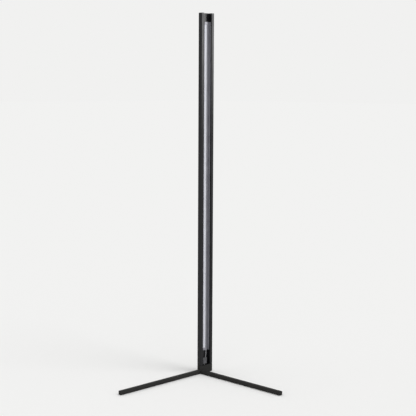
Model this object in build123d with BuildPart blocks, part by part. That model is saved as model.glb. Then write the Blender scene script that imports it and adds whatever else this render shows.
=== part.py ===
"""LED floor lamp: a U-channel post with a light bar in its channel, on two square bars at a right angle.

Millimetres, +Z up. The origin is on the floor, under the middle of the lamp's bounding box. The channel
opens towards -Y. The left leg runs along -X and the right leg along -Y, both from the post's front left
edge.
"""

import os

from build123d import *

# Overall sizes
lamp_height = 1400.0
leg_length = 410.0
leg_size = 14.0
leg_edge_radius = 1.0
leg_end_chamfer = 0.6

# Extruded post: two hollow lips joined by a web
post_width = 66.0
post_depth = 17.5
lip_width = 13.0
channel_depth = 15.5
lip_wall = 2.0
post_edge_radius = 0.8

# Foot block at the corner of the legs, with two tongues that stand in the hollow lips
block_height = 31.5
seam_height = 1.5
seam_recess = 1.0
well_width = 30.0
well_depth = 5.0
well_front_wall = 2.5
tongue_length = 38.0
tongue_clearance = 0.1
tongue_chamfer = 1.0
tongue_screw_height = 20.0
leg_seat = 12.0
pocket_right_wall = 12.0
pocket_front_wall = 3.0
pocket_back_wall = 4.0
pocket_height = 22.5
wire_hole_radius = 3.4

# Top cap
top_cap_thickness = 3.0
top_cap_chamfer = 0.5
cap_plug_length = 15.0

# Light bar: a tray that lines the channel, with the LED board in a groove of its floor
bar_bottom = 88.0
bar_below_top = 33.0
carrier_clearance = 0.2
carrier_wall = 1.0
carrier_base = 1.2
carrier_rim = 5.0
groove_width = 10.0
groove_depth = 0.7
tape_width = 30.0
tape_thickness = 0.2
board_width = 8.0
board_thickness = 0.4
phosphor_width = 3.5
phosphor_height = 0.7
phosphor_end_gap = 6.0
diffuser_width = 12.0
diffuser_height = 1.8
diffuser_plate = 0.9
diffuser_crown = 0.2
diffuser_clip = 0.6
diffuser_clearance = 0.05

# Caps on the ends of the diffuser
bar_cap_length = 10.0
bar_cap_socket = 6.0
bar_cap_width = 14.0
bar_cap_depth = 3.6
bar_cap_clearance = 0.1
bar_cap_edge_radius = 0.4
bar_cap_ear = 6.0

# Dimmer in the foot of the channel
case_width = 21.5
case_height = 25.0
case_depth = 7.5
case_wall = 1.2
case_floor = 1.6
case_corner_radius = 1.5
cover_thickness = 1.2
cover_edge_chamfer = 0.4
case_boss_radius = 2.2
case_boss_height = 2.2
case_boss_inset = 3.6
cover_rib = 0.8
cover_rib_depth = 0.9
cover_rib_end = 3.0
cover_rib_clearance = 0.1
pcb_margin = 0.3
pcb_thickness = 1.0

# Push button and the switch behind it
button_width = 15.0
button_height = 9.0
button_corner_radius = 1.0
button_above_case_bottom = 8.5
button_proud = 0.8
button_gap = 0.2
button_edge_chamfer = 0.3
button_flange_margin = 0.6
button_flange = 0.6
button_flange_gap = 0.1
button_travel = 0.8
switch_size = 6.0
switch_height = 1.8
stem_radius = 1.6
stem_clearance = 0.1
stem_proud = 0.9
stem_length = 1.3
nub_radius = 2.0

# Low-voltage inlet in the back of the foot block
inlet_height = 12.0
inlet_flange_radius = 5.4
inlet_flange = 1.6
inlet_barrel_radius = 3.9
inlet_length = 11.0
inlet_bore_radius = 2.8
inlet_bore_depth = 9.5
inlet_pin_radius = 1.0
inlet_pin_recess = 1.0
inlet_clearance = 0.1
nut_across_flats = 10.0
nut_thickness = 2.2
tab_spacing = 3.2
tab_width = 1.8
tab_thickness = 0.5
tab_rise = 6.0

# Wires
lead_radius = 1.2
lead_hold = 1.0
lead_low_offset = 7.5
lead_clearance = 0.1
strand_radius = 0.75
strand_gap = 0.25
strand_end = 4.5
strand_clearance = 0.3

# Fasteners
screw_radius = 2.0
screw_clearance = 0.25
thread_clearance = 0.05
socket_head_radius = 3.5
socket_head_height = 4.0
socket_head_room = 0.25
hex_key = 3.0
hex_depth = 2.0
leg_screw_length = 25.0
leg_hole_spare = 2.0
flat_head_radius = 3.7
post_screw_length = 12.0
case_screw_radius = 1.0
case_screw_head_radius = 1.9
case_screw_head_height = 1.2
case_screw_length = 5.5
case_hex_key = 1.3
case_hex_depth = 0.6
dowel_radius = 1.5
dowel_in_leg = 6.0
dowel_in_block = 4.0
fixing_offset = 3.0

# Rubber under the lamp
pad_thickness = 1.5
leg_pad_radius = 5.0
leg_pad_inset = 15.0
base_pad_margin = 2.0

# Places that follow from the sizes
corner_x = (leg_length - post_width) / 2
corner_y = (leg_length - post_depth) / 2
block_top = pad_thickness + block_height
post_length = lamp_height - top_cap_thickness - block_top
middle = post_width / 2
hollow_width = lip_width - 2 * lip_wall
hollow_depth = post_depth - 2 * lip_wall
tongue_width = hollow_width - 2 * tongue_clearance
tongue_depth = hollow_depth - 2 * tongue_clearance
lip_centres = [(lip_width / 2, post_depth / 2), (post_width - lip_width / 2, post_depth / 2)]
bar_top = lamp_height - bar_below_top
carrier_width = post_width - 2 * lip_width - 2 * carrier_clearance
carrier_back = channel_depth - tape_thickness
carrier_floor = carrier_back - carrier_base
board_back = carrier_floor + groove_depth
diffuser_shoulder = carrier_floor - diffuser_height
lead_depth = carrier_floor - bar_cap_depth / 2
lead_high_offset = (bar_cap_width + bar_cap_ear) / 2
diffuser_bottom = bar_bottom + bar_cap_length - bar_cap_socket
diffuser_length = bar_top - bar_bottom - 2 * (bar_cap_length - bar_cap_socket)
case_front = channel_depth - case_depth
cover_back = case_front + cover_thickness
case_middle = block_top + case_height / 2
case_inside_width = case_width - 2 * case_wall
boss_offset = case_width / 2 - case_boss_inset
boss_z = block_top + case_height - case_boss_inset
boss_front = channel_depth - case_floor - case_boss_height
case_screw_places = [(middle - boss_offset, boss_z), (middle + boss_offset, boss_z)]
pcb_front = channel_depth - case_floor - pcb_thickness
pcb_bottom = block_top + case_wall + pcb_margin
pcb_height = boss_z - case_boss_radius - pcb_margin - pcb_bottom
button_z = block_top + button_above_case_bottom
flange_front = cover_back + button_flange_gap
switch_front = pcb_front - switch_height
stem_front = switch_front - stem_proud
inlet_rear = post_depth - inlet_length
tab_top = inlet_height + tab_rise
strand_foot = (inlet_rear - tab_thickness / 2, tab_top + strand_gap)
strand_head = (pcb_front - strand_radius, block_top + strand_end)
strand_lean = (strand_head[0] - strand_foot[0]) / (strand_head[1] - strand_foot[1])


def level(z):
    """Level plane at height z, with its origin on the post's front left edge."""
    return Plane(origin=(corner_x, corner_y, z))


def upright(depth):
    """Plane facing forward, this deep behind the post's front face; across and up from its left edge."""
    return Plane(origin=(corner_x, corner_y + depth, 0), x_dir=(1, 0, 0), z_dir=(0, -1, 0))


def seat(across, depth, z, normal):
    """Plane at one point of the post's own coordinates, with its normal out of the seat."""
    return Plane(origin=(corner_x + across, corner_y + depth, z), z_dir=normal)


def strand_depth(z):
    """How deep behind the post's front face the inlet's wires run at height z."""
    return strand_foot[0] + strand_lean * (z - strand_foot[1])


def post_outline():
    """U-shaped outline of the post, drawn in the active sketch."""
    with Locations((middle, post_depth / 2)):
        Rectangle(post_width, post_depth)
    with Locations((middle, channel_depth / 2)):
        Rectangle(post_width - 2 * lip_width, channel_depth, mode=Mode.SUBTRACT)


def flat_head_screw(radius, head_radius, length, key, key_depth):
    """Screw with a flat head whose top lies at z = 0 and whose point looks down."""
    with BuildPart() as screw:
        with BuildSketch(Plane.XZ):
            with BuildLine():
                shank_top = (radius, radius - head_radius)
                Polyline((0, 0), (head_radius, 0), shank_top, (radius, -length), (0, -length), close=True)
            make_face()
        revolve(axis=Axis.Z)
        with BuildSketch():
            RegularPolygon(key / 2, 6, major_radius=False)
        extrude(amount=-key_depth, mode=Mode.SUBTRACT)
    return screw.part


def socket_head_screw(radius, head_radius, head_height, length, key, key_depth):
    """Cap screw whose head sits under z = 0 and whose shank points up."""
    with BuildPart() as screw:
        Cylinder(radius, length, align=(Align.CENTER, Align.CENTER, Align.MIN))
        Cylinder(head_radius, head_height, align=(Align.CENTER, Align.CENTER, Align.MAX))
        with BuildSketch(Plane.XY.offset(-head_height)):
            RegularPolygon(key / 2, 6, major_radius=False)
        extrude(amount=key_depth, mode=Mode.SUBTRACT)
    return screw.part


def square_leg():
    """Square bar that runs up from z = 0, with a screw hole and a dowel hole in that end."""
    with BuildPart() as bar:
        with BuildSketch():
            RectangleRounded(leg_size, leg_size, leg_edge_radius)
        extrude(amount=leg_length)
        chamfer(bar.faces().sort_by(Axis.Z)[-1].edges(), leg_end_chamfer)
        with Locations(Plane((0, -fixing_offset, 0), z_dir=(0, 0, -1))):
            Hole(screw_radius + thread_clearance, leg_screw_length - leg_seat + leg_hole_spare)
        with Locations(Plane((0, fixing_offset, 0), z_dir=(0, 0, -1))):
            Hole(dowel_radius + thread_clearance, dowel_in_leg + thread_clearance)
    return bar.part


def bar_cap(ear):
    """Boot for one end of the diffuser, socket upwards, drawn from z = 0 in the post's own coordinates.

    The ear, to the right of the closed end, is as wide as asked for and may be left out with 0.
    """
    with BuildPart() as cap:
        with BuildSketch():
            with Locations((middle, carrier_floor - bar_cap_depth / 2)):
                Rectangle(bar_cap_width, bar_cap_depth)
        extrude(amount=bar_cap_length)
        with BuildSketch():
            with Locations((middle + ear / 2, carrier_floor - bar_cap_depth / 2)):
                Rectangle(bar_cap_width + ear, bar_cap_depth)
        extrude(amount=bar_cap_length - bar_cap_socket)
        fillet(cap.faces().sort_by(Axis.Y)[0].edges(), bar_cap_edge_radius)
        socket_depth = diffuser_height + diffuser_crown + bar_cap_clearance
        with BuildSketch(Plane.XY.offset(bar_cap_length)):
            with Locations((middle, carrier_floor - socket_depth / 2)):
                Rectangle(diffuser_width + 2 * bar_cap_clearance, socket_depth)
        extrude(amount=-bar_cap_socket, mode=Mode.SUBTRACT)
    return cap.part


# Where the legs, screws, inlet and control parts sit
left_leg_plane = Plane(
    origin=(corner_x, corner_y + leg_size / 2, pad_thickness + leg_size / 2),
    x_dir=(0, -1, 0),
    z_dir=(-1, 0, 0),
)
right_leg_plane = Plane(
    origin=(corner_x + leg_size / 2, corner_y, pad_thickness + leg_size / 2),
    x_dir=(-1, 0, 0),
    z_dir=(0, -1, 0),
)
right_screw_z = pad_thickness + leg_size / 2 + fixing_offset
post_screw_seats = [
    seat(across, post_depth, block_top + tongue_screw_height, (0, 1, 0)) for across, depth in lip_centres
]
case_screw_seats = [seat(across, boss_front, z, (0, 1, 0)) for across, z in case_screw_places]
inlet_seat = seat(middle, post_depth, inlet_height, (0, 1, 0))

# Extruded post
with BuildPart() as post_profile:
    with BuildSketch(level(block_top)) as post_section:
        post_outline()
        by_depth = post_section.vertices().group_by(Axis.Y)
        fillet(by_depth[0] + by_depth[-1], post_edge_radius)
        with Locations(*lip_centres):
            Rectangle(hollow_width, hollow_depth, mode=Mode.SUBTRACT)
    extrude(amount=post_length)
    with Locations(*post_screw_seats):
        CounterSinkHole(screw_radius + screw_clearance, flat_head_radius + screw_clearance, lip_wall)
    with Locations(*[seat(across, channel_depth, z, (0, -1, 0)) for across, z in case_screw_places]):
        Hole(case_screw_radius + thread_clearance, post_depth - channel_depth)
post_profile.part.label = "post_profile"

# Cap on the post's upper end, with a plug for each hollow lip
with BuildPart() as top_cap:
    with BuildSketch(level(lamp_height - top_cap_thickness)) as cap_section:
        post_outline()
        by_depth = cap_section.vertices().group_by(Axis.Y)
        fillet(by_depth[0] + by_depth[-1], post_edge_radius)
    extrude(amount=top_cap_thickness)
    chamfer(top_cap.faces().sort_by(Axis.Z)[-1].edges(), top_cap_chamfer)
    with BuildSketch(level(lamp_height - top_cap_thickness)):
        with Locations(*lip_centres):
            Rectangle(tongue_width, tongue_depth)
    extrude(amount=-cap_plug_length)
    chamfer(top_cap.faces().filter_by(Axis.Z).sort_by(Axis.Z)[:2].edges(), tongue_chamfer)
top_cap.part.label = "top_cap"

# Foot block: it steps back under the seam, and a well in its top lets the dimmer's wires spread
with BuildPart() as foot_block:
    with BuildSketch(level(pad_thickness)):
        with Locations((middle, post_depth / 2)):
            RectangleRounded(post_width, post_depth, post_edge_radius)
    extrude(amount=block_height - seam_height)
    with BuildSketch(level(block_top - seam_height)):
        with Locations((middle, post_depth / 2)):
            Rectangle(post_width - 2 * seam_recess, post_depth - 2 * seam_recess)
    extrude(amount=seam_height)
    with BuildSketch(level(block_top)):
        with Locations(*lip_centres):
            Rectangle(tongue_width, tongue_depth)
    extrude(amount=tongue_length)
    chamfer(foot_block.faces().filter_by(Axis.Z).sort_by(Axis.Z)[-2:].edges(), tongue_chamfer)
    with BuildSketch(level(block_top)):
        with Locations((middle, (well_front_wall + channel_depth) / 2)):
            Rectangle(well_width, channel_depth - well_front_wall)
    extrude(amount=-well_depth, mode=Mode.SUBTRACT)
    with BuildSketch(level(pad_thickness)):
        pocket_length = post_width - leg_seat - pocket_right_wall
        pocket_depth = post_depth - pocket_front_wall - pocket_back_wall
        with Locations((leg_seat + pocket_length / 2, pocket_front_wall + pocket_depth / 2)):
            Rectangle(pocket_length, pocket_depth)
    extrude(amount=pocket_height, mode=Mode.SUBTRACT)
    wire_hole_z = block_top - (block_height - pocket_height) / 2
    with Locations(seat(middle, strand_depth(wire_hole_z), block_top, (0, 0, 1))):
        Hole(wire_hole_radius, block_height - pocket_height)
    for leg_plane in (left_leg_plane, right_leg_plane):
        with Locations(leg_plane):
            with Locations((0, -fixing_offset)):
                Hole(screw_radius + screw_clearance, leg_seat)
            with Locations((0, fixing_offset)):
                Hole(dowel_radius + thread_clearance, dowel_in_block + thread_clearance)
    with Locations(seat(leg_size / 2, post_depth, right_screw_z, (0, 1, 0))):
        Hole(socket_head_radius + socket_head_room, post_depth - leg_seat)
    with Locations(*post_screw_seats):
        Hole(screw_radius + thread_clearance, post_screw_length + leg_hole_spare)
    with Locations(inlet_seat):
        CounterBoreHole(
            inlet_barrel_radius + inlet_clearance,
            inlet_flange_radius + inlet_clearance,
            inlet_flange,
            pocket_back_wall,
        )
foot_block.part.label = "foot_block"

# Screw from the back of the post into each tongue
post_screw = flat_head_screw(screw_radius, flat_head_radius, post_screw_length, hex_key, hex_depth / 2)
with BuildPart() as post_screws:
    with Locations(*post_screw_seats):
        add(post_screw)
post_screws.part.label = "post_screws"

# Legs: one bar, turned over for the right side so that the two screws cross at different heights
leg_bar = square_leg()
with BuildPart() as left_leg:
    with Locations(left_leg_plane):
        add(leg_bar)
left_leg.part.label = "left_leg"

with BuildPart() as right_leg:
    with Locations(right_leg_plane):
        add(leg_bar)
right_leg.part.label = "right_leg"

# Screw and dowel that hold each leg
leg_screw = socket_head_screw(
    screw_radius, socket_head_radius, socket_head_height, leg_screw_length, hex_key, hex_depth
)
with BuildPart() as leg_screws:
    with Locations(left_leg_plane, right_leg_plane):
        with Locations((0, -fixing_offset, -leg_seat)):
            add(leg_screw)
leg_screws.part.label = "leg_screws"

with BuildPart() as leg_dowels:
    with Locations(left_leg_plane, right_leg_plane):
        with Locations((0, fixing_offset, (dowel_in_leg - dowel_in_block) / 2)):
            Cylinder(dowel_radius, dowel_in_block + dowel_in_leg)
leg_dowels.part.label = "leg_dowels"

# Rubber pads
with BuildPart() as leg_pads:
    with BuildSketch(level(0)):
        pad_place = leg_pad_inset - leg_length
        with Locations((pad_place, leg_size / 2), (leg_size / 2, pad_place)):
            Circle(leg_pad_radius)
    extrude(amount=pad_thickness)
leg_pads.part.label = "leg_pads"

with BuildPart() as base_pad:
    with BuildSketch(level(0)):
        with Locations((middle, post_depth / 2)):
            Rectangle(post_width - 2 * base_pad_margin, post_depth - 2 * base_pad_margin)
    extrude(amount=pad_thickness)
base_pad.part.label = "base_pad"

# Light bar: tape, tray, board, phosphor line and diffuser, from the channel's floor outwards
with BuildPart() as bar_tape:
    with BuildSketch(level(bar_bottom + bar_cap_length)):
        with Locations((middle, channel_depth - tape_thickness / 2)):
            Rectangle(tape_width, tape_thickness)
    extrude(amount=bar_top - bar_bottom - 2 * bar_cap_length)
bar_tape.part.label = "bar_tape"

with BuildPart() as bar_carrier:
    with BuildSketch(level(bar_bottom)):
        with Locations((middle, (carrier_rim + carrier_back) / 2)):
            Rectangle(carrier_width, carrier_back - carrier_rim)
        with Locations((middle, (carrier_rim + carrier_floor) / 2)):
            Rectangle(carrier_width - 2 * carrier_wall, carrier_floor - carrier_rim, mode=Mode.SUBTRACT)
        with Locations((middle, (carrier_floor + board_back) / 2)):
            Rectangle(groove_width, groove_depth, mode=Mode.SUBTRACT)
    extrude(amount=bar_top - bar_bottom)
bar_carrier.part.label = "bar_carrier"

with BuildPart() as led_board:
    with BuildSketch(level(diffuser_bottom)):
        with Locations((middle, board_back - board_thickness / 2)):
            Rectangle(board_width, board_thickness)
    extrude(amount=diffuser_length)
led_board.part.label = "led_board"

with BuildPart() as led_phosphor:
    with BuildSketch(level(diffuser_bottom + phosphor_end_gap)):
        with Locations((middle, board_back - board_thickness - phosphor_height / 2)):
            Rectangle(phosphor_width, phosphor_height)
    extrude(amount=diffuser_length - 2 * phosphor_end_gap)
led_phosphor.part.label = "led_phosphor"

with BuildPart() as diffuser:
    with BuildSketch(level(diffuser_bottom)):
        left_edge = (middle - diffuser_width / 2, diffuser_shoulder)
        right_edge = (middle + diffuser_width / 2, diffuser_shoulder)
        with BuildLine():
            ThreePointArc(left_edge, (middle, diffuser_shoulder - diffuser_crown), right_edge)
            Polyline(right_edge, (right_edge[0], carrier_floor), (left_edge[0], carrier_floor), left_edge)
        make_face()
        clip_length = groove_depth - diffuser_clearance
        clip_offset = groove_width / 2 - diffuser_clearance - diffuser_clip / 2
        with Locations(
            (middle - clip_offset, carrier_floor + clip_length / 2),
            (middle + clip_offset, carrier_floor + clip_length / 2),
        ):
            Rectangle(diffuser_clip, clip_length)
        cavity_depth = diffuser_height - diffuser_plate
        with Locations((middle, carrier_floor - cavity_depth / 2)):
            Rectangle(2 * clip_offset - diffuser_clip, cavity_depth, mode=Mode.SUBTRACT)
    extrude(amount=diffuser_length)
diffuser.part.label = "diffuser"

# Feed lead, straight from the dimmer up to the ear of the diffuser's lower cap
lead_foot = Vector(
    corner_x + middle + lead_low_offset, corner_y + lead_depth, block_top + case_height - lead_hold
)
lead_tip = Vector(corner_x + middle + lead_high_offset, corner_y + lead_depth, bar_bottom + lead_hold)
lead_line = lead_tip - lead_foot
with BuildPart() as feed_lead:
    with BuildSketch(Plane(origin=lead_foot, z_dir=lead_line)):
        Circle(lead_radius)
    extrude(amount=lead_line.length)
feed_lead.part.label = "feed_lead"

# Caps on the diffuser: the upper one is turned over, the lower one has an ear that takes the feed lead
with BuildPart() as bar_cap_upper:
    with Locations(level(bar_top)):
        add(mirror(bar_cap(0), Plane.XY, mode=Mode.PRIVATE))
bar_cap_upper.part.label = "bar_cap_upper"

with BuildPart() as bar_cap_lower:
    with Locations(level(bar_bottom)):
        add(bar_cap(bar_cap_ear))
    with BuildSketch(Plane(origin=lead_tip, z_dir=-lead_line)):
        Circle(lead_radius + lead_clearance)
    extrude(amount=2 * lead_hold, mode=Mode.SUBTRACT)
bar_cap_lower.part.label = "bar_cap_lower"

# Dimmer case: a tray screwed to the channel's floor, and a cover that two ribs hold in it
with BuildPart() as control_base:
    with BuildSketch(upright(channel_depth)):
        with Locations((middle, case_middle)):
            RectangleRounded(case_width, case_height, case_corner_radius)
    extrude(amount=case_depth - cover_thickness)
    with BuildSketch(upright(channel_depth - case_floor)):
        with Locations((middle, case_middle)):
            Rectangle(case_inside_width, case_height - 2 * case_wall)
    extrude(amount=case_depth, mode=Mode.SUBTRACT)
    with BuildSketch(upright(channel_depth - case_floor)):
        with Locations(*case_screw_places):
            Circle(case_boss_radius)
    extrude(amount=case_boss_height)
    with Locations(*[seat(across, boss_front, z, (0, -1, 0)) for across, z in case_screw_places]):
        Hole(case_screw_radius + thread_clearance, case_boss_height + case_floor)
    with BuildSketch(Plane(origin=lead_foot, z_dir=lead_line)):
        Circle(lead_radius + lead_clearance)
    extrude(amount=2 * lead_hold, mode=Mode.SUBTRACT)
    with BuildSketch(level(block_top)):
        strand_room = 2 * (strand_radius + strand_clearance)
        with Locations((middle, strand_depth(block_top + case_wall / 2))):
            Rectangle(tab_spacing + strand_room, strand_room)
    extrude(amount=case_wall, mode=Mode.SUBTRACT)
control_base.part.label = "control_base"

with BuildPart() as control_cover:
    with BuildSketch(upright(cover_back)):
        with Locations((middle, case_middle)):
            RectangleRounded(case_width, case_height, case_corner_radius)
    extrude(amount=cover_thickness)
    chamfer(control_cover.faces().sort_by(Axis.Y)[0].edges(), cover_edge_chamfer)
    with BuildSketch(upright(cover_back)):
        with Locations((middle, button_z)):
            window_width = button_width + 2 * button_gap
            window_height = button_height + 2 * button_gap
            RectangleRounded(window_width, window_height, button_corner_radius + button_gap)
    extrude(amount=cover_thickness, mode=Mode.SUBTRACT)
    with BuildSketch(upright(cover_back)):
        rib_spacing = case_inside_width - 2 * cover_rib_clearance - cover_rib
        with Locations((middle, case_middle)):
            with GridLocations(rib_spacing, case_height, 2, 1):
                Rectangle(cover_rib, case_height - 2 * (case_wall + cover_rib_end))
    extrude(amount=-cover_rib_depth)
control_cover.part.label = "control_cover"

case_screw = socket_head_screw(
    case_screw_radius,
    case_screw_head_radius,
    case_screw_head_height,
    case_screw_length,
    case_hex_key,
    case_hex_depth,
)
with BuildPart() as control_screws:
    with Locations(*case_screw_seats):
        add(case_screw)
control_screws.part.label = "control_screws"

# Dimmer board, below the screw bosses
with BuildPart() as control_board:
    with BuildSketch(upright(pcb_front + pcb_thickness)):
        with Locations((middle, pcb_bottom + pcb_height / 2)):
            Rectangle(case_inside_width - 2 * pcb_margin, pcb_height)
    extrude(amount=pcb_thickness)
control_board.part.label = "control_board"

# Switch on the board, with the stem that its button pushes in
with BuildPart() as switch_body:
    with BuildSketch(upright(pcb_front)):
        with Locations((middle, button_z)):
            Rectangle(switch_size, switch_size)
    extrude(amount=switch_height)
    with Locations(seat(middle, switch_front, button_z, (0, -1, 0))):
        Hole(stem_radius + stem_clearance, stem_length - stem_proud + button_travel + stem_clearance)
switch_body.part.label = "switch_body"

with BuildPart() as switch_stem:
    with BuildSketch(upright(stem_front)):
        with Locations((middle, button_z)):
            Circle(stem_radius)
    extrude(amount=-stem_length)
switch_stem.part.label = "switch_stem"

with BuildPart() as push_button:
    with BuildSketch(upright(flange_front)):
        with Locations((middle, button_z)):
            RectangleRounded(button_width, button_height, button_corner_radius)
    extrude(amount=flange_front - case_front + button_proud)
    chamfer(push_button.faces().sort_by(Axis.Y)[0].edges(), button_edge_chamfer)
    with BuildSketch(upright(flange_front)):
        with Locations((middle, button_z)):
            Rectangle(button_width + 2 * button_flange_margin, button_height + 2 * button_flange_margin)
    extrude(amount=-button_flange)
    with BuildSketch(upright(flange_front + button_flange)):
        with Locations((middle, button_z)):
            Circle(nub_radius)
    extrude(amount=flange_front + button_flange - stem_front)
push_button.part.label = "push_button"

# Inlet: flanged barrel from the back, its contacts, and the nut inside the pocket
with BuildPart() as dc_inlet:
    with Locations(inlet_seat):
        Cylinder(inlet_flange_radius, inlet_flange, align=(Align.CENTER, Align.CENTER, Align.MAX))
        Cylinder(inlet_barrel_radius, inlet_length, align=(Align.CENTER, Align.CENTER, Align.MAX))
        Hole(inlet_bore_radius, inlet_bore_depth)
dc_inlet.part.label = "dc_inlet"

with BuildPart() as inlet_contacts:
    with Locations(inlet_seat.offset(-inlet_bore_depth)):
        Cylinder(
            inlet_pin_radius,
            inlet_bore_depth - inlet_pin_recess,
            align=(Align.CENTER, Align.CENTER, Align.MIN),
        )
    with BuildSketch(upright(inlet_rear)):
        with Locations((middle, inlet_height + tab_rise / 2)):
            with GridLocations(tab_spacing, tab_rise, 2, 1):
                Rectangle(tab_width, tab_rise)
    extrude(amount=tab_thickness)
inlet_contacts.part.label = "inlet_contacts"

with BuildPart() as inlet_nut:
    with BuildSketch(upright(post_depth - pocket_back_wall)):
        with Locations((middle, inlet_height)):
            RegularPolygon(nut_across_flats / 2, 6, major_radius=False)
            Circle(inlet_barrel_radius + thread_clearance, mode=Mode.SUBTRACT)
    extrude(amount=nut_thickness)
inlet_nut.part.label = "inlet_nut"

# Pair of straight wires from the inlet's tabs up to the dimmer board
strand_line = Vector(0, strand_head[0] - strand_foot[0], strand_head[1] - strand_foot[1])
strand_origin = (corner_x + middle, corner_y + strand_foot[0], strand_foot[1])
with BuildPart() as inlet_leads:
    with BuildSketch(Plane(origin=strand_origin, x_dir=(1, 0, 0), z_dir=strand_line)):
        with GridLocations(tab_spacing, tab_spacing, 2, 1):
            Circle(strand_radius)
    extrude(amount=strand_line.length)
inlet_leads.part.label = "inlet_leads"

# One file for each sub-part
os.makedirs("parts", exist_ok=True)
sub_parts = [
    post_profile.part,
    top_cap.part,
    foot_block.part,
    post_screws.part,
    left_leg.part,
    right_leg.part,
    leg_screws.part,
    leg_dowels.part,
    leg_pads.part,
    base_pad.part,
    bar_tape.part,
    bar_carrier.part,
    led_board.part,
    led_phosphor.part,
    diffuser.part,
    bar_cap_upper.part,
    bar_cap_lower.part,
    feed_lead.part,
    control_base.part,
    control_cover.part,
    control_screws.part,
    control_board.part,
    switch_body.part,
    switch_stem.part,
    push_button.part,
    dc_inlet.part,
    inlet_contacts.part,
    inlet_nut.part,
    inlet_leads.part,
]
for sub_part in sub_parts:
    export_step(sub_part, f"parts/{sub_part.label}.step")
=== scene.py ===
"""Slim LED floor lamp: soft-edged pieces, finishes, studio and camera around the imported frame."""

import logging
import math
from dataclasses import dataclass
from enum import Enum, IntEnum
from typing import Any, Callable, Sequence

import bmesh
import bpy
from mathutils import Matrix, Vector

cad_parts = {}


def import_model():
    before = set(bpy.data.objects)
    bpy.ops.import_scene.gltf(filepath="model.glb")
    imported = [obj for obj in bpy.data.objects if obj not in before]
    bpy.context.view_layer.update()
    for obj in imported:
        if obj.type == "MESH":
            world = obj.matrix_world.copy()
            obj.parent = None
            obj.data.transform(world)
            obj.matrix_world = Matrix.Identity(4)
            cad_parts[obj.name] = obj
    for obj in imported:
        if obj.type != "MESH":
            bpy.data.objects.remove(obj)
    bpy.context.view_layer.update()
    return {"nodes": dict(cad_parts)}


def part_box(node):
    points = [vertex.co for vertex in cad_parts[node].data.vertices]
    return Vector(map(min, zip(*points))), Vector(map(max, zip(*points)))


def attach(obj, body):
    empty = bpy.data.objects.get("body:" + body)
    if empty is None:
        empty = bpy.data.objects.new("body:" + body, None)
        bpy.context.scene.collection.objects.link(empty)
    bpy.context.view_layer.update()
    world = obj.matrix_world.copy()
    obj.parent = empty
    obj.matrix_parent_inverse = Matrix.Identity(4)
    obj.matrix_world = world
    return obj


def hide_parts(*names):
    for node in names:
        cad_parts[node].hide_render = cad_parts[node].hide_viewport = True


MM = 0.001
LAMP = "lamp"
BUTTON = "button"

# How near two places have to be to count as one: for a cut, for a selection, and at its border.
CUT_SLACK = 0.002 * MM
SLACK = 0.02 * MM
BORDER_SLACK = 0.01 * MM
# Share of a normal or of an edge that has to point along an axis.
FACING = 0.9
STRAIGHT = 0.999
# Faces make a corner from the first angle on, and are shaded as one up to the second.
CORNER_ANGLE = math.radians(40.0)
SMOOTH_ANGLE = math.radians(32.0)

# Sockets of a Mix node that mixes colours.
MIX_FIRST, MIX_SECOND, MIX_RESULT = 6, 7, 2
# Noise of the fine grain and of the smudges, and the span of the smudges that carries the roughness.
GRAIN_NOISE = {"Detail": 2.0, "Roughness": 0.55}
SMUDGE_NOISE = {"Detail": 3.0}
SMUDGE_SPAN = {"From Min": 0.25, "From Max": 0.75}
LEAST_ROUGHNESS = 0.02

log = logging.getLogger("floor_lamp")


class Axis(IntEnum):
    """Direction of an edge, a cut or a move."""

    X = 0
    Y = 1
    Z = 2

    def vector(self, length: float = 1.0) -> Vector:
        """Return a vector of this length along the axis."""
        return Vector([length if axis is self else 0.0 for axis in Axis])


class Side(Enum):
    """Side of the lamp that a face looks to."""

    FRONT = (0.0, -1.0, 0.0)
    BACK = (0.0, 1.0, 0.0)
    UNDER = (0.0, 0.0, -1.0)

    def sees(self, face: bmesh.types.BMFace) -> bool:
        """Tell whether a face looks to this side."""
        return face.normal.dot(Vector(self.value)) > FACING


def linear(code: str) -> tuple[float, float, float, float]:
    """Turn an sRGB hex colour into linear light.

    Args:
        code: Colour as "#RRGGBB".

    Returns:
        Red, green, blue and alpha, linear.
    """
    parts = [int(code[i : i + 2], 16) / 255 for i in (1, 3, 5)]
    light = [p / 12.92 if p <= 0.04045 else ((p + 0.055) / 1.055) ** 2.4 for p in parts]
    return (light[0], light[1], light[2], 1.0)


def scale_of(size_mm: float) -> float:
    """Return the texture scale at which one feature has this size."""
    return 1.0 / (size_mm * MM)


def level(height: float) -> tuple[float, float, float, float]:
    """Return the grey that stands for a height in a pattern."""
    return (height, height, height, 1.0)


def open_tree(owner: bpy.types.Material | bpy.types.World) -> bpy.types.NodeTree:
    """Switch a material or world to nodes and hand out its empty tree.

    Args:
        owner: Material or world that was just made.

    Returns:
        Its node tree, with no nodes.
    """
    owner.use_nodes = True
    owner.node_tree.nodes.clear()
    return owner.node_tree


def add_node(
    tree: bpy.types.NodeTree,
    kind: str,
    values: dict[Any, Any] | None = None,
    links: dict[Any, bpy.types.NodeSocket] | None = None,
    **settings: Any,
) -> bpy.types.Node:
    """Add one node with its settings, input values and incoming links.

    Args:
        tree: Node tree that takes the node.
        kind: Node type, such as "ShaderNodeBump".
        values: Constant values by input name or number.
        links: Sockets to join by input name or number.
        **settings: Attributes of the node itself.

    Returns:
        The new node.
    """
    node = tree.nodes.new(kind)
    for name, value in settings.items():
        setattr(node, name, value)
    for key, value in (values or {}).items():
        node.inputs[key].default_value = value
    for key, socket in (links or {}).items():
        tree.links.new(socket, node.inputs[key])
    return node


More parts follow.
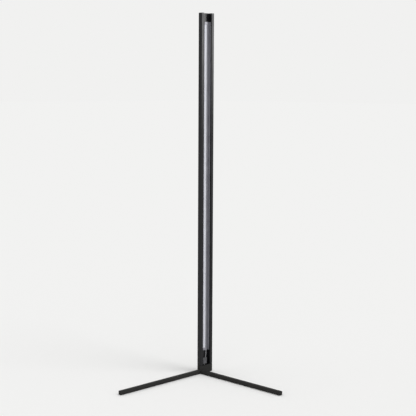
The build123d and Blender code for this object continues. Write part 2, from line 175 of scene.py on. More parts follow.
@dataclass(frozen=True)
class Finish:
    """Surface of one real material, with an even grain.

    Attributes:
        name: Common name of the material.
        shade: Colour of the low parts of the grain.
        second: Colour that its high parts tend to.
        roughness: Middle roughness.
        spread: How far the roughness wanders to either side.
        grain_mm: Width of the grain.
        relief_mm: Height of the grain.
        metallic: Share of bare metal.
        specular: Strength of the sheen.
        smudge_mm: Width of the patches in which colour and roughness wander.
    """

    name: str
    shade: str
    second: str
    roughness: float
    spread: float
    grain_mm: float
    relief_mm: float
    metallic: float = 0.0
    specular: float = 0.5
    smudge_mm: float = 45.0

    def pattern(self, tree: bpy.types.NodeTree, place: bpy.types.NodeSocket) -> bpy.types.NodeSocket:
        """Lay out the fine grain.

        Args:
            tree: Material's node tree.
            place: Object coordinates.

        Returns:
            Height of the grain, from 0 to 1.
        """
        values = {"Scale": scale_of(self.grain_mm), **GRAIN_NOISE}
        return add_node(tree, "ShaderNodeTexNoise", values, {"Vector": place}).outputs["Fac"]

    def tint(
        self, tree: bpy.types.NodeTree, place: bpy.types.NodeSocket, colour: bpy.types.NodeSocket
    ) -> bpy.types.NodeSocket:
        """Return the colour as it is: one coat covers the whole piece."""
        return colour

    def shader_values(self) -> dict[str, Any]:
        """Return the constant values of the surface shader."""
        return {"Metallic": self.metallic, "Specular IOR Level": self.specular}

    def material(self) -> bpy.types.Material:
        """Make the material once and hand out the same one afterwards.

        Returns:
            The finished material.
        """
        known = bpy.data.materials.get(self.name)
        if known is not None:
            return known
        made = bpy.data.materials.new(self.name)
        tree = open_tree(made)
        place = add_node(tree, "ShaderNodeTexCoord").outputs["Object"]
        height = self.pattern(tree, place)
        patches = {"Scale": scale_of(self.smudge_mm), **SMUDGE_NOISE}
        smudge = add_node(tree, "ShaderNodeTexNoise", patches, {"Vector": place}).outputs["Fac"]
        both = add_node(tree, "ShaderNodeMath", links={0: height, 1: smudge}, operation="MULTIPLY")
        shades = {MIX_FIRST: linear(self.shade), MIX_SECOND: linear(self.second)}
        colour = add_node(tree, "ShaderNodeMix", shades, {0: both.outputs[0]}, data_type="RGBA")
        rough_span = {
            **SMUDGE_SPAN,
            "To Min": max(LEAST_ROUGHNESS, self.roughness - self.spread),
            "To Max": min(1.0, self.roughness + self.spread),
        }
        rough = add_node(tree, "ShaderNodeMapRange", rough_span, {"Value": smudge})
        relief = {"Strength": 1.0, "Distance": self.relief_mm * MM}
        bump = add_node(tree, "ShaderNodeBump", relief, {"Height": height})
        surface = {
            "Base Color": self.tint(tree, place, colour.outputs[MIX_RESULT]),
            "Roughness": rough.outputs[0],
            "Normal": bump.outputs[0],
        }
        shader = add_node(tree, "ShaderNodeBsdfPrincipled", self.shader_values(), surface)
        add_node(tree, "ShaderNodeOutputMaterial", links={"Surface": shader.outputs[0]})
        return made


@dataclass(frozen=True)
class DrawnFinish(Finish):
    """Surface with long upright lines from a die or a grinding wheel."""

    draw: tuple[float, float, float] = (1.0, 1.0, 0.02)

    def pattern(self, tree: bpy.types.NodeTree, place: bpy.types.NodeSocket) -> bpy.types.NodeSocket:
        """Stretch the grain into lines.

        Args:
            tree: Material's node tree.
            place: Object coordinates.

        Returns:
            Height of the lines, from 0 to 1.
        """
        drawn = add_node(tree, "ShaderNodeMapping", {"Scale": self.draw}, {"Vector": place})
        return super().pattern(tree, drawn.outputs[0])


@dataclass(frozen=True)
class SeamShadowFinish(Finish):
    """Coat whose colour ends at a height over the floor: above it the piece is painted near black, a
    painted shadow for the rebate under the seam.
    """

    # Near black of the painted shadow in the seam's rebate, and the height where it starts.
    seam_shadow_colour: str = "#060607"
    limit_mm: float = 31.45

    def tint(
        self, tree: bpy.types.NodeTree, place: bpy.types.NodeSocket, colour: bpy.types.NodeSocket
    ) -> bpy.types.NodeSocket:
        """Paint the part above the height near black, as a painted shadow.

        Args:
            tree: Material's node tree.
            place: Object coordinates.
            colour: Colour of the coat.

        Returns:
            Colour of the coat, and the near black of the painted shadow above it.
        """
        rise = add_node(tree, "ShaderNodeSeparateXYZ", links={0: place}).outputs["Z"]
        limit = {1: self.limit_mm * MM}
        # Painted shade: near black above the height, standing in for the shadow under the seam.
        painted_shadow = add_node(tree, "ShaderNodeMath", limit, {0: rise}, operation="GREATER_THAN")
        shades = {MIX_SECOND: linear(self.seam_shadow_colour)}
        links = {0: painted_shadow.outputs[0], MIX_FIRST: colour}
        return add_node(tree, "ShaderNodeMix", shades, links, data_type="RGBA").outputs[MIX_RESULT]


@dataclass(frozen=True)
class OpalFinish(Finish):
    """Milky plastic that lets some light in under its skin."""

    weight: float = 0.35
    depth_mm: float = 1.0

    def shader_values(self) -> dict[str, Any]:
        """Return the constant values of the surface shader, with light spread under the skin."""
        return {
            **super().shader_values(),
            "Subsurface Weight": self.weight,
            "Subsurface Radius": (1.0, 1.0, 1.0),
            "Subsurface Scale": self.depth_mm * MM,
        }


@dataclass(frozen=True)
class BoardFinish(Finish):
    """Lacquered circuit board: its grain is the fields between the copper tracks, which stand out."""

    track_share: float = 0.08
    field_height: float = 0.15

    def pattern(self, tree: bpy.types.NodeTree, place: bpy.types.NodeSocket) -> bpy.types.NodeSocket:
        """Lay out the tracks.

        Args:
            tree: Material's node tree.
            place: Object coordinates.

        Returns:
            Height of the lacquer over the tracks, from 0 to 1.
        """
        upright = {"Rotation": (math.pi / 2, 0.0, 0.0)}
        turned = add_node(tree, "ShaderNodeMapping", upright, {"Vector": place})
        layout = {
            "Scale": scale_of(self.grain_mm),
            "Mortar Size": self.track_share,
            "Color1": level(0.0),
            "Color2": level(self.field_height),
            "Mortar": level(1.0),
        }
        return add_node(tree, "ShaderNodeTexBrick", layout, {"Vector": turned.outputs[0]}).outputs["Color"]


# Black anodised aluminium, extruded: die lines run up it, and the dyed oxide has a satin sheen.
# The lines are drawn coarser and deeper than on the real one, so that they show.
EXTRUSION = DrawnFinish(
    "black_anodised_extrusion", "#0E0E10", "#242428",
    roughness=0.31, spread=0.06, grain_mm=1.2, relief_mm=0.03, specular=0.2,
)
# Polyester powder coat on steel: an orange peel that breaks up the sheen, deeper than on the real one.
POWDER = Finish(
    "black_powder_coat", "#272726", "#403F3E",
    roughness=0.62, spread=0.06, grain_mm=1.2, relief_mm=0.06, specular=0.05,
)
# The same coat on the foot block. Its top, which goes into the post, is painted near black: a painted
# shadow in the rebate under the seam, which reads as a dark line.
POWDER_WITH_PAINTED_SEAM_SHADOW = SeamShadowFinish(
    "powder_coat_painted_seam_shadow", POWDER.shade, POWDER.second,
    POWDER.roughness, POWDER.spread, POWDER.grain_mm, POWDER.relief_mm, specular=POWDER.specular,
)
# Moulded ABS with a spark-eroded texture: matte, with a fine even grain.
ABS = Finish(
    "grey_abs", "#49494C", "#57575A",
    roughness=0.5, spread=0.06, grain_mm=0.35, relief_mm=0.01, specular=0.3,
)
# The same texture in black plastic, from a smoother tool.
BLACK_ABS = Finish(
    "black_abs", "#1E1E20", "#2A2A2D",
    roughness=0.4, spread=0.06, grain_mm=0.35, relief_mm=0.01, specular=0.4,
)
# Polished moulded ABS of the key: the same grey plastic, rubbed a little by fingers.
KEY_ABS = Finish(
    "grey_abs_key", "#535357", "#616165",
    roughness=0.36, spread=0.1, grain_mm=0.5, relief_mm=0.004, specular=0.35, smudge_mm=6.0,
)
# Extruded opal acrylic: milky, cool white, with a silky skin.
OPAL = OpalFinish(
    "opal_acrylic", "#D3D4DC", "#DFE0E6",
    roughness=0.42, spread=0.05, grain_mm=2.5, relief_mm=0.004, specular=0.25,
)
# Moulded grey polycarbonate of the boot that holds the lead: duller and darker than the opal cover.
# Its grey is a shaded copy of the top cap's: painted shade at the foot of the bar.
POLYCARBONATE_PAINTED_SHADE = Finish(
    "polycarbonate_painted_shade", "#82818A", "#92919A",
    roughness=0.48, spread=0.06, grain_mm=0.4, relief_mm=0.008,
)
# The plain end cap at the top is the same polycarbonate in a lighter grey: a lit copy of the boot's grey,
# painted light at the top of the bar.
POLYCARBONATE_PAINTED_LIGHT = Finish(
    "polycarbonate_painted_light", "#A2A1AA", "#B4B3BC",
    roughness=0.48, spread=0.06, grain_mm=0.4, relief_mm=0.008,
)
# Grey anodised aluminium, extruded: a soft metal sheen under a dyed oxide, with die lines drawn to show.
GREY_ANODISED = DrawnFinish(
    "grey_anodised_tray", "#76767D", "#A0A0A7",
    roughness=0.5, spread=0.06, grain_mm=0.9, relief_mm=0.02, metallic=0.15,
)
# White solder mask: glossy lacquer over copper tracks.
WHITE_BOARD = BoardFinish(
    "white_solder_mask", "#E4E3DC", "#F0EFEA",
    roughness=0.32, spread=0.05, grain_mm=6.4, relief_mm=0.02,
)
# Green solder mask: the same lacquer, tinted.
GREEN_BOARD = BoardFinish(
    "green_solder_mask", "#0F4A2C", "#2A6B44",
    roughness=0.3, spread=0.05, grain_mm=6.4, relief_mm=0.02,
)
# Silicone filled with yellow phosphor: rubbery, with a slight gloss.
PHOSPHOR = OpalFinish(
    "phosphor_silicone", "#E8C64A", "#F0D56A",
    roughness=0.3, spread=0.05, grain_mm=0.3, relief_mm=0.005,
)
# Acrylic foam tape: chalky and soft.
TAPE = Finish(
    "acrylic_foam_tape", "#C9C9C7", "#D6D6D4",
    roughness=0.85, spread=0.05, grain_mm=0.4, relief_mm=0.02,
)
# Black oxide on steel screws: dark, oily metal with a mottled sheen.
BLACK_OXIDE = Finish(
    "black_oxide_steel", "#2A2A2D", "#3A3A3E",
    roughness=0.42, spread=0.1, grain_mm=0.6, relief_mm=0.004, metallic=0.9, smudge_mm=4.0,
)
# Ground steel dowels, which lie flat: bright, with fine upright rings from the wheel.
GROUND_STEEL = DrawnFinish(
    "ground_steel", "#B0B1B4", "#C6C7CA",
    roughness=0.25, spread=0.06, grain_mm=0.3, relief_mm=0.002, metallic=1.0,
)
# Nickel plate on brass: warm grey mirror that is slightly hazed.
NICKEL = Finish(
    "nickel_plated_brass", "#BDB8AE", "#CFCAC0",
    roughness=0.22, spread=0.06, grain_mm=0.5, relief_mm=0.002, metallic=1.0, smudge_mm=5.0,
)
# PVC sleeve: extruded, satin, with a faint pull of the die.
SLEEVE = DrawnFinish(
    "grey_pvc_sleeve", "#B0B0B4", "#BEBEC2",
    roughness=0.45, spread=0.06, grain_mm=0.5, relief_mm=0.006, specular=0.4,
)
# EPDM rubber: dead matte, with a dusty bloom.
RUBBER = Finish(
    "epdm_rubber", "#141415", "#202022",
    roughness=0.8, spread=0.08, grain_mm=0.5, relief_mm=0.02, specular=0.3, smudge_mm=8.0,
)


def near(value: float, target: float) -> bool:
    """Tell whether two lengths in metres agree."""
    return abs(value - target) < SLACK


def middle(edge: bmesh.types.BMEdge) -> Vector:
    """Return the middle of an edge."""
    return (edge.verts[0].co + edge.verts[1].co) / 2


def along(edge: bmesh.types.BMEdge, axis: Axis) -> bool:
    """Tell whether an edge runs along one axis."""
    way = edge.verts[1].co - edge.verts[0].co
    return abs(way[axis]) > STRAIGHT * way.length


def sharp(edge: bmesh.types.BMEdge) -> bool:
    """Tell whether the faces at an edge meet at a corner."""
    return len(edge.link_faces) == 2 and edge.calc_face_angle() > CORNER_ANGLE


class Workpiece:
    """One new piece, shaped in edit mode by selections made in code."""

    def __init__(self, obj: bpy.types.Object) -> None:
        """Take the active object, put its place into its mesh and open it for shaping."""
        self.obj = obj
        bpy.ops.object.transform_apply(location=True, rotation=True, scale=True)
        bpy.ops.object.mode_set(mode="EDIT")

    @classmethod
    def block(cls, name: str, low: Vector, high: Vector) -> "Workpiece":
        """Start from a block that fills a box.

        Args:
            name: Name of the piece.
            low: Lowest corner, in metres.
            high: Highest corner, in metres.

        Returns:
            The open workpiece.
        """
        bpy.ops.object.select_all(action="DESELECT")
        bpy.ops.mesh.primitive_cube_add(size=1.0, location=(low + high) / 2)
        obj = bpy.context.active_object
        obj.name = obj.data.name = name
        obj.scale = high - low
        return cls(obj)

    @classmethod
    def disc(cls, name: str, centre: Vector, radius: float, depth: float, sides: int = 48) -> "Workpiece":
        """Start from a flat disc.

        Args:
            name: Name of the piece.
            centre: Middle of the disc, in metres.
            radius: Radius, in metres.
            depth: Height, in metres.
            sides: Corners round the rim.

        Returns:
            The open workpiece.
        """
        bpy.ops.object.select_all(action="DESELECT")
        bpy.ops.mesh.primitive_cylinder_add(vertices=sides, radius=radius, depth=depth, location=centre)
        obj = bpy.context.active_object
        obj.name = obj.data.name = name
        return cls(obj)

    @classmethod
    def joined(cls, name: str, objects: Sequence[bpy.types.Object]) -> "Workpiece":
        """Start from several finished shapes.

        Args:
            name: Name of the piece.
            objects: Shapes that become one piece.

        Returns:
            The open workpiece.
        """
        bpy.ops.object.select_all(action="DESELECT")
        for obj in objects:
            obj.select_set(True)
        bpy.context.view_layer.objects.active = objects[0]
        bpy.ops.object.join()
        objects[0].name = objects[0].data.name = name
        return cls(objects[0])

    def _clear(self, mode: str) -> bmesh.types.BMesh:
        """Deselect everything and return the open mesh in this selection mode."""
        bpy.ops.mesh.select_mode(type=mode)
        bpy.ops.mesh.select_all(action="DESELECT")
        return bmesh.from_edit_mesh(self.obj.data)

    def edges(self, test: Callable[[bmesh.types.BMEdge], bool]) -> "Workpiece":
        """Select the edges that pass a test.

        Args:
            test: Called with each edge.

        Returns:
            The workpiece itself.
        """
        mesh = self._clear("EDGE")
        for edge in mesh.edges:
            edge.select_set(test(edge))
        bmesh.update_edit_mesh(self.obj.data)
        return self

    def lines(self, axis: Axis, test: Callable[[Vector], bool]) -> "Workpiece":
        """Select the edges along an axis whose middle passes a test."""
        return self.edges(lambda edge: along(edge, axis) and test(middle(edge)))

    def rim(self, axis: Axis, place: float) -> "Workpiece":
        """Select the corner edges that lie wholly at one place of an axis."""
        return self.edges(lambda edge: sharp(edge) and all(near(v.co[axis], place) for v in edge.verts))

    def faces(self, test: Callable[[bmesh.types.BMFace], bool]) -> "Workpiece":
        """Select the faces that pass a test.

        Args:
            test: Called with each face.

        Returns:
            The workpiece itself.
        """
        mesh = self._clear("FACE")
        mesh.normal_update()
        for face in mesh.faces:
            face.select_set(test(face))
        bmesh.update_edit_mesh(self.obj.data)
        return self

    def round_off(self, width: float, segments: int) -> "Workpiece":
        """Round the selected edges to this width."""
        bpy.ops.mesh.bevel(offset=width, segments=segments, profile=0.5, affect="EDGES", clamp_overlap=True)
        return self

    def inset(self, width: float, depth: float = 0.0) -> "Workpiece":
        """Inset the selected faces, and sink them where depth is below zero."""
        bpy.ops.mesh.inset(thickness=width, depth=depth)
        return self

    def pull(self, axis: Axis, length: float) -> "Workpiece":
        """Extrude the selected faces along an axis."""
        bpy.ops.mesh.extrude_region_move(TRANSFORM_OT_translate={"value": tuple(axis.vector(length))})
        return self

    def shift(self, axis: Axis, length: float) -> "Workpiece":
        """Move what is selected along an axis."""
        bpy.ops.transform.translate(value=tuple(axis.vector(length)))
        return self

    def score(self, axis: Axis, place: float) -> "Workpiece":
        """Cut an edge line right round the piece at one place of an axis.

        Args:
            axis: Axis that the cut stands square to.
            place: Where the cut crosses it, in metres.

        Returns:
            The workpiece itself.
        """
        bpy.ops.mesh.select_all(action="SELECT")
        bpy.ops.mesh.bisect(
            plane_co=tuple(axis.vector(place)), plane_no=tuple(axis.vector()), threshold=CUT_SLACK
        )
        return self

    def pierce(self) -> "Workpiece":
        """Join two selected opposite faces by a hole."""
        bpy.ops.mesh.bridge_edge_loops()
        return self

    def leave(self) -> bpy.types.Object:
        """Leave edit mode and return the object."""
        bpy.ops.object.mode_set(mode="OBJECT")
        return self.obj

    def close(self, body: str, finish: Finish, node: str, slot: str) -> None:
        """Leave edit mode, smooth, paint and seat the piece.

        Args:
            body: Body that carries the piece.
            finish: Its surface.
            node: Node that the piece stands for.
            slot: Material slot of the record. Not used.
        """
        obj = self.leave()
        bpy.ops.object.shade_smooth_by_angle(angle=SMOOTH_ANGLE)
        obj.data.materials.append(finish.material())
        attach(obj, body)
        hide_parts(node)
        log.info("piece %s: %d faces", obj.name, len(obj.data.polygons))


@dataclass
class Assembly:
    """Group of pieces that are made and dressed together."""

    nodes: dict[str, bpy.types.Object]

    def dress(self, finish: Finish, *names: str) -> None:
        """Give carried-over nodes their finish.

        Args:
            finish: Surface to put on.
            *names: Nodes that get it.
        """
        for name in names:
            for slot in self.nodes[name].material_slots:
                slot.material = finish.material()
            log.info("node %s: %s", name, finish.name)

    def build(self) -> None:
        """Model the new pieces and dress the nodes that stay."""
        raise NotImplementedError


@dataclass
class Base(Assembly):
    """Two square bars, the foot block between them and the rubber underneath."""

    edge_mm: float = 1.0
    edge_segments: int = 4
    end_mm: float = 0.6
    end_segments: int = 3
    pad_inset_mm: float = 15.0
    pad_ring_mm: float = 1.4
    pad_slope_mm: float = 0.3
    pad_recess_mm: float = 0.6
    pad_edge_mm: float = 0.3
    pad_segments: int = 2

    def bar(self, node: str, axis: Axis) -> None:
        """Model one leg: a bar with rounded arrises and a softly broken free end.

        Args:
            node: Leg that the bar stands for.
            axis: Axis that the bar runs along, towards its free end at the low side.
        """
        low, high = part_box(node)
        piece = Workpiece.block(node + "_bar", low, high)
        piece.lines(axis, lambda spot: True).round_off(self.edge_mm * MM, self.edge_segments)
        piece.rim(axis, low[axis]).round_off(self.end_mm * MM, self.end_segments)
        piece.close(LAMP, POWDER, node, "black_steel")

    def pads(self) -> None:
        """Model the two round pads: a ring of rubber with a hollow middle under each bar's free end."""
        low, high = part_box("leg_pads")
        left_low, left_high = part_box("left_leg")
        right_low, right_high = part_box("right_leg")
        depth = high.z - low.z
        rise = low.z + depth / 2
        inset = self.pad_inset_mm * MM
        centres = {
            "left": Vector((left_low.x + inset, (left_low.y + left_high.y) / 2, rise)),
            "right": Vector(((right_low.x + right_high.x) / 2, right_low.y + inset, rise)),
        }
        radius = high.x - centres["right"].x
        rings = []
        for side, centre in centres.items():
            piece = Workpiece.disc("leg_pad_" + side, centre, radius, depth)
            piece.faces(Side.UNDER.sees).inset(self.pad_ring_mm * MM)
            piece.inset(self.pad_slope_mm * MM, -self.pad_recess_mm * MM)
            piece.rim(Axis.Z, low.z).round_off(self.pad_edge_mm * MM, self.pad_segments)
            rings.append(piece.leave())
        Workpiece.joined("leg_pad_rings", rings).close(LAMP, RUBBER, "leg_pads", "rubber")

    def build(self) -> None:
        """Model the bars and pads and dress the nodes that stay."""
        self.bar("left_leg", Axis.X)
        self.bar("right_leg", Axis.Y)
        self.pads()
        # The foot block's coat carries a painted shadow under the seam.
        self.dress(POWDER_WITH_PAINTED_SEAM_SHADOW, "foot_block")
        self.dress(RUBBER, "base_pad")
        self.dress(BLACK_OXIDE, "leg_screws")
        self.dress(GROUND_STEEL, "leg_dowels")


@dataclass
class Post(Assembly):
    """Extruded upright with its cap and the screws that hold it to the foot block."""

    def build(self) -> None:
        """Dress the upright."""
        self.dress(EXTRUSION, "post_profile")
        self.dress(BLACK_ABS, "top_cap")
        self.dress(BLACK_OXIDE, "post_screws")


@dataclass
class LightBar(Assembly):
    """Grey tray that lines the channel, with the LED board under an opal cover on its floor."""

    wall_mm: float = 1.0
    base_mm: float = 1.2
    rim_mm: float = 0.3
    rim_segments: int = 3
    groove_mm: tuple[float, float] = (5.0, 0.7)
    cover_mm: float = 1.8
    crown_mm: float = 0.2
    crown_steps: int = 12
    edge_mm: float = 0.4
    edge_segments: int = 4
    cavity_mm: tuple[float, float] = (4.35, 0.9)
    clip_mm: float = 0.6
    slant_mm: float = 0.05

    def tray(self) -> None:
        """Model the tray: a floor with a groove for the board, and a wall on each side with a soft rim."""
        low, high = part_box("bar_carrier")
        floor = high.y - self.base_mm * MM
        half = (high.x - low.x) / 2
        centre = (low.x + high.x) / 2
        inner = half - self.wall_mm * MM
        groove, sunk = (value * MM for value in self.groove_mm)
        bottom = groove - self.slant_mm * MM
        piece = Workpiece.block("bar_tray", Vector((low.x, floor, low.z)), high)
        for cut in (inner, groove, bottom):
            for side in (-1, 1):
                piece.score(Axis.X, centre + side * cut)
        piece.lines(Axis.Z, lambda spot: near(spot.y, floor) and near(abs(spot.x - centre), bottom))
        piece.shift(Axis.Y, sunk)
        piece.faces(
            lambda face: Side.FRONT.sees(face) and abs(face.calc_center_median().x - centre) > inner
        )
        piece.pull(Axis.Y, low.y - floor)
        piece.edges(lambda edge: sharp(edge) and along(edge, Axis.Z) and near(middle(edge).y, low.y))
        piece.round_off(self.rim_mm * MM, self.rim_segments)
        piece.close(LAMP, GREY_ANODISED, "bar_carrier", "grey_aluminium")

    def cover(self) -> None:
        """Model the opal cover: a low crowned strip, hollow behind, with two clips for the groove."""
        low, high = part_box("diffuser")
        _, tray_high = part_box("bar_carrier")
        half = (high.x - low.x) / 2
        centre = (low.x + high.x) / 2
        floor = tray_high.y - self.base_mm * MM
        shoulder = floor - self.cover_mm * MM
        hollow, sunk = (value * MM for value in self.cavity_mm)
        ceiling = hollow - self.slant_mm * MM
        clip = hollow + self.clip_mm * MM
        front, back = Vector((low.x, shoulder, low.z)), Vector((high.x, floor, high.z))
        piece = Workpiece.block("opal_cover", front, back)
        cuts = [half * (2 * step / self.crown_steps - 1) for step in range(1, self.crown_steps)]
        cuts += [side * cut for cut in (ceiling, hollow, clip) for side in (-1, 1)]
        for cut in cuts:
            piece.score(Axis.X, centre + cut)
        for cut in cuts:
            rise = self.crown_mm * MM * (1 - (cut / half) ** 2)
            piece.lines(Axis.Z, lambda spot: near(spot.x, centre + cut) and near(spot.y, shoulder))
            piece.shift(Axis.Y, -rise)
        piece.lines(
            Axis.Z, lambda spot: near(spot.y, floor) and abs(spot.x - centre) < ceiling + BORDER_SLACK
        )
        piece.shift(Axis.Y, -sunk)
        piece.faces(
            lambda face: Side.BACK.sees(face)
            and near(face.calc_center_median().y, floor)
            and hollow < abs(face.calc_center_median().x - centre) < clip
        )
        piece.pull(Axis.Y, high.y - floor)
        piece.lines(Axis.Z, lambda spot: near(spot.y, shoulder) and near(abs(spot.x - centre), half))
        piece.round_off(self.edge_mm * MM, self.edge_segments)
        piece.close(LAMP, OPAL, "diffuser", "opal_plastic")

    def build(self) -> None:
        """Model the tray and its cover and dress the nodes that stay."""
        self.tray()
        self.cover()
        # The two end caps carry painted light at the top and painted shade at the foot.
        self.dress(POLYCARBONATE_PAINTED_LIGHT, "bar_cap_upper")
        self.dress(POLYCARBONATE_PAINTED_SHADE, "bar_cap_lower")
        self.dress(TAPE, "bar_tape")
        self.dress(WHITE_BOARD, "led_board")
        self.dress(PHOSPHOR, "led_phosphor")
        self.dress(SLEEVE, "feed_lead")


@dataclass
class Dimmer(Assembly):
    """Small case at the foot of the channel, with a push button in its cover."""

    cover_mm: float = 1.2
    corner_mm: float = 1.5
    corner_segments: int = 6
    rim_mm: float = 0.2
    rim_segments: int = 3
    key_width_mm: float = 15.0
    key_height_mm: float = 9.0
    key_corner_mm: float = 1.0
    key_corner_segments: int = 5
    key_edge_mm: float = 0.35
    key_edge_segments: int = 4
    gap_mm: float = 0.2
    flange_mm: float = 0.6
    flange_play_mm: float = 0.1
    face_rim_mm: float = 1.2
    dish_ring_mm: float = 0.8
    dish_mm: tuple[float, ...] = (0.12, 0.09, 0.05)
    nub_inset_mm: float = 3.1

    def cover(self) -> None:
        """Model the cover: a thin plate with rounded corners, a soft rim and a window for the key."""
        low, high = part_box("control_cover")
        key_low, key_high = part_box("push_button")
        centre = (key_low + key_high) / 2
        back = low.y + self.cover_mm * MM
        half_width = (self.key_width_mm / 2 + self.gap_mm) * MM
        half_height = (self.key_height_mm / 2 + self.gap_mm) * MM
        piece = Workpiece.block("dimmer_cover", low, Vector((high.x, back, high.z)))
        for side in (-1, 1):
            piece.score(Axis.X, centre.x + side * half_width)
            piece.score(Axis.Z, centre.z + side * half_height)
        piece.faces(
            lambda face: (Side.FRONT.sees(face) or Side.BACK.sees(face))
            and abs(face.calc_center_median().x - centre.x) < half_width
            and abs(face.calc_center_median().z - centre.z) < half_height
        )
        piece.pierce()
        piece.lines(
            Axis.Y,
            lambda spot: min(abs(spot.x - low.x), abs(spot.x - high.x)) < BORDER_SLACK
            and min(abs(spot.z - low.z), abs(spot.z - high.z)) < BORDER_SLACK,
        )
        piece.round_off(self.corner_mm * MM, self.corner_segments)
        piece.lines(
            Axis.Y,
            lambda spot: near(abs(spot.x - centre.x), half_width)
            and near(abs(spot.z - centre.z), half_height),
        )
        piece.round_off((self.key_corner_mm + self.gap_mm) * MM, self.key_corner_segments)
        piece.rim(Axis.Y, low.y).round_off(self.rim_mm * MM, self.rim_segments)
        piece.close(LAMP, ABS, "control_cover", "grey_plastic")

    def key(self) -> None:
        """Model the key: a flanged block with soft edges, a dished front and a nub for the switch."""
        low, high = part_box("push_button")
        cover_low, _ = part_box("control_cover")
        flange_front = cover_low.y + (self.cover_mm + self.flange_play_mm) * MM
        flange_back = flange_front + self.flange_mm * MM
        front, back = Vector((low.x, flange_front, low.z)), Vector((high.x, flange_back, high.z))
        piece = Workpiece.block("dimmer_key", front, back)
        margin = (high.x - low.x) / 2 - self.key_width_mm * MM / 2
        piece.faces(Side.FRONT.sees).inset(margin).pull(Axis.Y, low.y - flange_front)
        piece.inset(self.face_rim_mm * MM)
        for sink in self.dish_mm:
            piece.inset(self.dish_ring_mm * MM, -sink * MM)
        piece.lines(Axis.Y, lambda spot: spot.y < flange_front - SLACK)
        piece.round_off(self.key_corner_mm * MM, self.key_corner_segments)
        piece.rim(Axis.Y, low.y).round_off(self.key_edge_mm * MM, self.key_edge_segments)
        piece.faces(Side.BACK.sees).inset(self.nub_inset_mm * MM).pull(Axis.Y, high.y - flange_back)
        piece.close(BUTTON, KEY_ABS, "push_button", "grey_plastic")

    def build(self) -> None:
        """Model the cover and key and dress the nodes that stay."""
        self.cover()
        self.key()
        self.dress(ABS, "control_base")
        self.dress(BLACK_ABS, "switch_body", "switch_stem")
        self.dress(GREEN_BOARD, "control_board")
        self.dress(BLACK_OXIDE, "control_screws")


@dataclass
class Inlet(Assembly):
    """Low-voltage inlet in the back of the foot block, with its nut, contacts and wires."""

    def build(self) -> None:
        """Dress the inlet."""
        self.dress(BLACK_ABS, "dc_inlet")
        self.dress(NICKEL, "inlet_contacts", "inlet_nut")
        self.dress(SLEEVE, "inlet_leads")


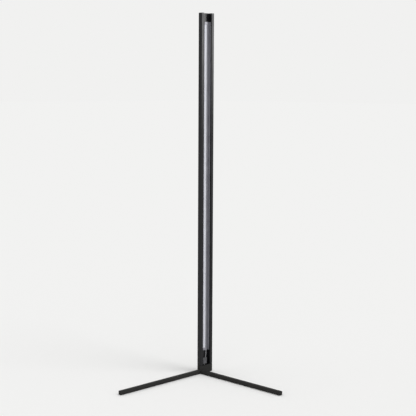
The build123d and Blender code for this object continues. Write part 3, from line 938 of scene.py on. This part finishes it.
@dataclass
class Studio:
    """Plain pale floor with soft light, a soft sun from the right and a card that only glosses show."""

    backdrop: str = "#F1F1F0"
    floor_size: float = 120.0
    fill: str = "#FFFFFF"
    fill_strength: float = 0.85
    sun_place: tuple[float, float, float] = (0.0, 0.0, 4.0)
    sun_from: tuple[float, float, float] = (0.33, -0.95, 1.15)
    sun_strength: float = 0.66
    sun_angle_deg: float = 30.0
    card_place: tuple[float, float, float] = (1.97, -1.57, 1.85)
    card_aim: tuple[float, float, float] = (0.2, 0.2, 1.2)
    card_size: tuple[float, float] = (1.6, 1.4)
    card_watts: float = 52.0

    def floor(self) -> None:
        """Lay the pale floor."""
        bpy.ops.object.select_all(action="DESELECT")
        bpy.ops.mesh.primitive_plane_add(size=self.floor_size)
        obj = bpy.context.active_object
        obj.name = "studio_floor"
        paint = bpy.data.materials.new("matte_sweep")
        tree = open_tree(paint)
        shader = add_node(tree, "ShaderNodeBsdfDiffuse", {"Color": linear(self.backdrop)})
        add_node(tree, "ShaderNodeOutputMaterial", links={"Surface": shader.outputs[0]})
        obj.data.materials.append(paint)

    def world(self) -> None:
        """Light the scene evenly, and show the backdrop's colour behind it and in glosses."""
        sky = bpy.data.worlds.new("studio_sky")
        tree = open_tree(sky)
        rays = add_node(tree, "ShaderNodeLightPath").outputs
        shown = rays["Is Camera Ray"]
        for ray in ("Is Glossy Ray", "Is Transmission Ray"):
            either = {0: shown, 1: rays[ray]}
            shown = add_node(tree, "ShaderNodeMath", links=either, operation="MAXIMUM").outputs[0]
        light = {"Color": linear(self.fill), "Strength": self.fill_strength}
        backdrop = {"Color": linear(self.backdrop), "Strength": 1.0}
        fill = add_node(tree, "ShaderNodeBackground", light).outputs[0]
        back = add_node(tree, "ShaderNodeBackground", backdrop).outputs[0]
        mixed = add_node(tree, "ShaderNodeMixShader", links={0: shown, 1: fill, 2: back})
        add_node(tree, "ShaderNodeOutputWorld", links={"Surface": mixed.outputs[0]})
        bpy.context.scene.world = sky

    def lamps(self) -> None:
        """Add the soft sun and the card."""
        bpy.ops.object.select_all(action="DESELECT")
        bpy.ops.object.light_add(type="SUN", location=self.sun_place)
        sun = bpy.context.active_object
        sun.name = "soft_sun"
        sun.data.energy = self.sun_strength
        sun.data.angle = math.radians(self.sun_angle_deg)
        sun.rotation_euler = Vector(self.sun_from).to_track_quat("Z", "Y").to_euler()
        bpy.ops.object.light_add(type="AREA", location=self.card_place)
        card = bpy.context.active_object
        card.name = "gloss_card"
        card.data.shape = "RECTANGLE"
        card.data.size, card.data.size_y = self.card_size
        card.data.energy = self.card_watts
        card.visible_diffuse = False
        card.visible_camera = False
        away = Vector(self.card_place) - Vector(self.card_aim)
        card.rotation_euler = away.to_track_quat("Z", "Y").to_euler()

    def build(self) -> None:
        """Set up floor, sky and lamps, and keep colours as they are written."""
        self.floor()
        self.world()
        self.lamps()
        bpy.context.scene.view_settings.view_transform = "Standard"


@dataclass
class PhotoCamera:
    """Camera at the photograph's place, turn and field of view."""

    place_mm: tuple[float, float, float] = (-2643.2, -2613.05, 1120.0)
    yaw_deg: float = -45.4415
    tilt_deg: float = 83.36
    roll_deg: float = 0.286
    lens_mm: float = 89.83
    sensor_mm: float = 36.0
    reach: float = 200.0

    def build(self) -> None:
        """Add the camera and make it the scene's own."""
        data = bpy.data.cameras.new("photo_camera")
        data.sensor_fit = "HORIZONTAL"
        data.sensor_width = self.sensor_mm
        data.lens = self.lens_mm
        data.clip_end = self.reach
        camera = bpy.data.objects.new("photo_camera", data)
        bpy.context.scene.collection.objects.link(camera)
        turn = (
            Matrix.Rotation(math.radians(self.yaw_deg), 4, "Z")
            @ Matrix.Rotation(math.radians(self.tilt_deg), 4, "X")
            @ Matrix.Rotation(math.radians(self.roll_deg), 4, "Z")
        )
        camera.matrix_world = Matrix.Translation(Vector(self.place_mm) * MM) @ turn
        bpy.context.scene.camera = camera


def main() -> None:
    """Build the lamp's dressed model, its studio and its camera."""
    logging.basicConfig(level=logging.INFO, format="%(name)s: %(message)s")
    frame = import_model()
    bpy.ops.object.select_all(action="DESELECT")
    for kind in (Base, Post, LightBar, Dimmer, Inlet):
        log.info("sub-assembly %s", kind.__name__)
        kind(frame["nodes"]).build()
    Studio().build()
    PhotoCamera().build()


if __name__ == "__main__":
    main()
